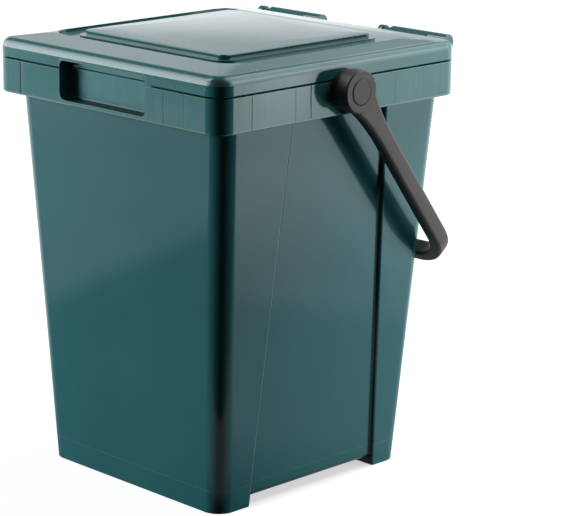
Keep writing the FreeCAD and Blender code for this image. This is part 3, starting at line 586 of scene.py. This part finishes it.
# Floor as the camera sees it: white far away, a little darker near the bin, with a painted shadow below it
FAR_SQUARED = (0.05, 0.35)
FLOOR_NEAR = 0.88
FLOOR_FAR_GAIN = 0.12
BELOW_HALF_X = 0.113
BELOW_FADE_X = 0.017
BELOW_MIDDLE_Y = -0.008
BELOW_HALF_Y = 0.082
BELOW_FADE_Y = 0.02
PAINTED_SHADOW_LOSS = 0.3
FLOOR_SEEN = shade(0.2, 0.2, 0.2)
FLOOR_UNSEEN = shade(0.02, 0.02, 0.02)


def reach(direction, x, y):
    """How far a place lies along a level direction."""
    return x * direction[0] + y * direction[1]


def floor_material():
    finish = Finish("pale_floor")
    camera_ray, glossy_ray, clear_ray = finish.rays()
    x, y, _ = finish.axes()
    right = reach(TO_RIGHT, x, y)
    left = -right
    nearer = reach(TO_CAMERA, x, y)
    in_front = nearer.ramp(*RIGHT_REAR_FALL)
    middle_glow = in_front * RIGHT_MIDDLE_GAIN + RIGHT_MIDDLE_GLOW
    beyond_part = in_front * RIGHT_BEYOND_GAIN + RIGHT_BEYOND_PART
    beyond = right.ramp(*RIGHT_FAR) * RIGHT_FAR_GLOW + right.ramp(*RIGHT_END) * RIGHT_END_GLOW
    right_side = (right.ramp(*RIGHT_NEAR) * RIGHT_NEAR_GLOW + right.above(*RIGHT_EDGE) * RIGHT_EDGE_GLOW
                  + right.ramp(*RIGHT_MIDDLE) * middle_glow + beyond * beyond_part)
    right_side = right_side * (1 - nearer.ramp(*RIGHT_FRONT_FALL))
    left_edge = (left - nearer * LEFT_EDGE_SLANT).above(*LEFT_EDGE)
    left_side = (left.ramp(*LEFT_NEAR) * LEFT_NEAR_GLOW + left_edge * LEFT_EDGE_GLOW
                 + left.ramp(*LEFT_FAR) * LEFT_FAR_GLOW - left.ramp(*LEFT_END) * LEFT_END_LOSS)
    left_side = left_side * (1 - nearer.above(*LEFT_FRONT_CUT))
    behind = (-nearer).ramp(*BEHIND) * BEHIND_GLOW
    before = nearer.within(*BEFORE) * (1 - abs(right).ramp(*BEFORE_WIDTH)) * BEFORE_GLOW
    mirrored = right_side.most(left_side).most(behind).most(before)
    far = (x * x + y * y).ramp(*FAR_SQUARED)
    # Painted shadow on the floor below the side panels
    painted_shadow_x = 1 - (abs(x) - BELOW_HALF_X).ramp(0.0, BELOW_FADE_X)
    painted_shadow_y = 1 - (abs(y - BELOW_MIDDLE_Y) - BELOW_HALF_Y).ramp(0.0, BELOW_FADE_Y)
    plain = far * FLOOR_FAR_GAIN + FLOOR_NEAR - painted_shadow_x * painted_shadow_y * PAINTED_SHADOW_LOSS
    seen = camera_ray.most(clear_ray) * plain + glossy_ray * mirrored
    grey = finish.blend(camera_ray, FLOOR_UNSEEN, FLOOR_SEEN)
    base = finish.node("ShaderNodeBsdfDiffuse", None, {"Color": grey})
    glow = finish.node("ShaderNodeEmission", None, {"Color": WHITE, "Strength": seen})
    finish.show(finish.node("ShaderNodeAddShader", None, {0: base, 1: glow}))
    return finish.material


deselect()
bpy.ops.mesh.primitive_plane_add(size=FLOOR_SIZE, location=(0, 0, 0))
floor = bpy.context.active_object
floor.name = "pale_floor"
floor.data.materials.append(floor_material())

# White room in the gloss: bright at the horizon except towards the camera, with soft cards above it
CAMERA_SIDE = (-0.1, 0.4)
LOW_SKY = (0.08, 0.18)
LOW_SKY_RIGHT = (0.045, 0.08)
LOW_SKY_RIGHT_LOSS = 0.68
LOW_SKY_GLOW = 1.75
MIDDLE_SKY = (0.28, 0.5)
MIDDLE_SKY_GLOW = 0.35
SKY_BAND = (0.25, 0.4, 0.03)
SKY_BAND_RIGHT = (-0.06, 0.06)
SKY_BAND_RIGHT_LOSS = 0.55
SKY_BAND_GLOW = 0.45
ROOM_GLOW = 0.25
ROOM_LIGHT = 0.04

# Each card: direction of its middle, closeness to it at the outer and the inner edge, and strength
LEFT_CARD = ((-0.741, -0.601, 0.300), 0.75, 0.985, 5.7)
LEFT_CORE = ((-0.497, -0.275, 0.811), 0.955, 0.985, 4.0)
BACK_CARD = ((0.300, 0.686, 0.663), 0.80, 0.92, 2.6)
RIGHT_CARD = ((0.717, 0.690, 0.100), 0.83, 0.98, 2.6)


def white_room():
    room = Surroundings("white_room")
    camera_ray, glossy_ray, clear_ray = room.rays()
    x, y, z = room.axes()
    camera_side = reach(TO_CAMERA, x, y).ramp(*CAMERA_SIDE)
    across = reach(TO_RIGHT, x, y)
    low_sky = (1 - z.ramp(*LOW_SKY)) * (1 - across.ramp(*LOW_SKY_RIGHT) * LOW_SKY_RIGHT_LOSS)
    sky_band = z.within(*SKY_BAND) * (1 - across.ramp(*SKY_BAND_RIGHT) * SKY_BAND_RIGHT_LOSS)
    middle_sky = 1 - z.ramp(*MIDDLE_SKY)
    horizon = low_sky * LOW_SKY_GLOW + middle_sky * MIDDLE_SKY_GLOW + sky_band * SKY_BAND_GLOW
    mirrored = horizon * (1 - camera_side) + ROOM_GLOW
    for middle, outer, inner, strength in (LEFT_CARD, LEFT_CORE, BACK_CARD, RIGHT_CARD):
        towards = x * middle[0] + y * middle[1] + z * middle[2]
        mirrored = mirrored + towards.ramp(outer, inner) * strength
    white = camera_ray.most(clear_ray)
    other = 1 - white.most(glossy_ray)
    level = white + glossy_ray * mirrored + other * ROOM_LIGHT
    room.show(room.node("ShaderNodeBackground", None, {"Color": WHITE, "Strength": level}))


white_room()


def placed(name, data):
    """A new lamp or camera in the scene."""
    holder = bpy.data.objects.new(name, data)
    bpy.context.scene.collection.objects.link(holder)
    return holder


# Soft lamps low at the left and behind the right, and one above, none of them mirrored in the gloss
LAMP_AIM = Vector((0, 0, 0.25))


def softbox(name, azimuth, distance, height, size, power):
    turn = math.radians(azimuth)
    place = Vector((math.sin(turn) * distance, -math.cos(turn) * distance, height))
    lamp = bpy.data.lights.new(name, "AREA")
    lamp.shape = "SQUARE"
    lamp.size = size
    lamp.energy = power
    holder = placed(name, lamp)
    holder.location = place
    holder.rotation_euler = (LAMP_AIM - place).to_track_quat("-Z", "Y").to_euler()
    holder.visible_camera = False
    holder.visible_glossy = False


softbox("left_lamp", azimuth=-48, distance=2.0, height=0.5, size=0.9, power=72)
softbox("right_lamp", azimuth=131, distance=0.68, height=0.17, size=0.26, power=5.2)
softbox("back_lamp", azimuth=166, distance=1.6, height=2.0, size=1.2, power=86)

# Camera at the photograph's place, with the frame shifted to the side as there
ELEVATION = math.radians(14.6)
ROLL = math.radians(0.39)
DISTANCE = 2.29245
AIM = Vector((0.0, -0.0105, 0.20256))
SENSOR_WIDTH = 36
FOCAL_LENGTH = 149.17
SIDE_SHIFT = 0.1033
level_part = math.cos(ELEVATION)
back = Vector((TO_CAMERA[0] * level_part, TO_CAMERA[1] * level_part, math.sin(ELEVATION)))
level_right = Vector((0, 0, 1)).cross(back).normalized()
level_up = back.cross(level_right)
right = level_right * math.cos(ROLL) + level_up * math.sin(ROLL)
up = level_up * math.cos(ROLL) - level_right * math.sin(ROLL)
lens = bpy.data.cameras.new("photo_camera")
lens.sensor_fit = "HORIZONTAL"
lens.sensor_width = SENSOR_WIDTH
lens.lens = FOCAL_LENGTH
lens.shift_x = SIDE_SHIFT
camera = placed("photo_camera", lens)
turned = Matrix((right, up, back)).transposed().to_4x4()
camera.matrix_world = Matrix.Translation(AIM + back * DISTANCE) @ turned
bpy.context.scene.camera = camera
bpy.context.scene.view_settings.view_transform = "Standard"
